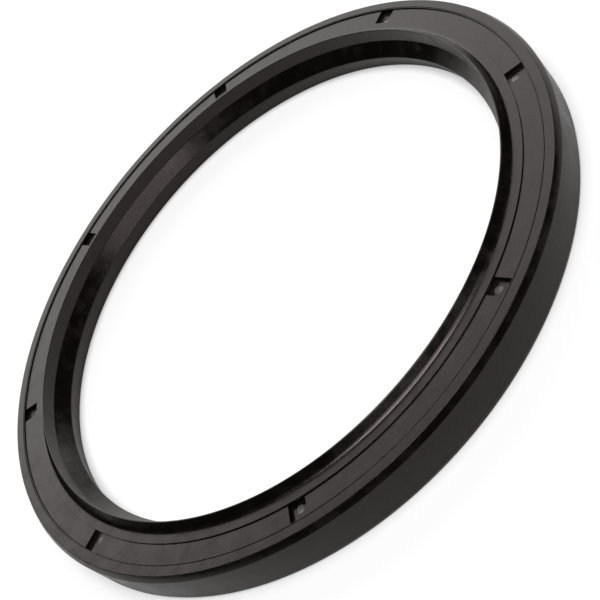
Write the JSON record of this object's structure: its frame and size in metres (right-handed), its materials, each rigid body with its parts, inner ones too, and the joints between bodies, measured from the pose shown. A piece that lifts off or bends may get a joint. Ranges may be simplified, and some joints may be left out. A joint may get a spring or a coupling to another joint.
{
  "type": "radial shaft seal",
  "caption": "Rubber-covered rotary shaft seal ring with a flat front face, small mould pockets, a dust lip and a spring-loaded sealing lip round the bore.",
  "frame": {"origin": "on the seal's axis, in the plane of the back rim that the seal lies on", "axes": "+Z along the axis, out of the front (air side) face; +X through the middle of one of the front face's pockets"},
  "size_m": [0.155, 0.155, 0.0117],
  "materials": {
    "rubber": "satin black moulded nitrile rubber",
    "case_steel": "dull pressed steel",
    "spring_steel": "drawn spring wire"
  },
  "bodies": {
    "root": {"rubber_body": "rubber", "case_ring": "case_steel", "garter_spring": "spring_steel"}
  },
  "joints": []
}
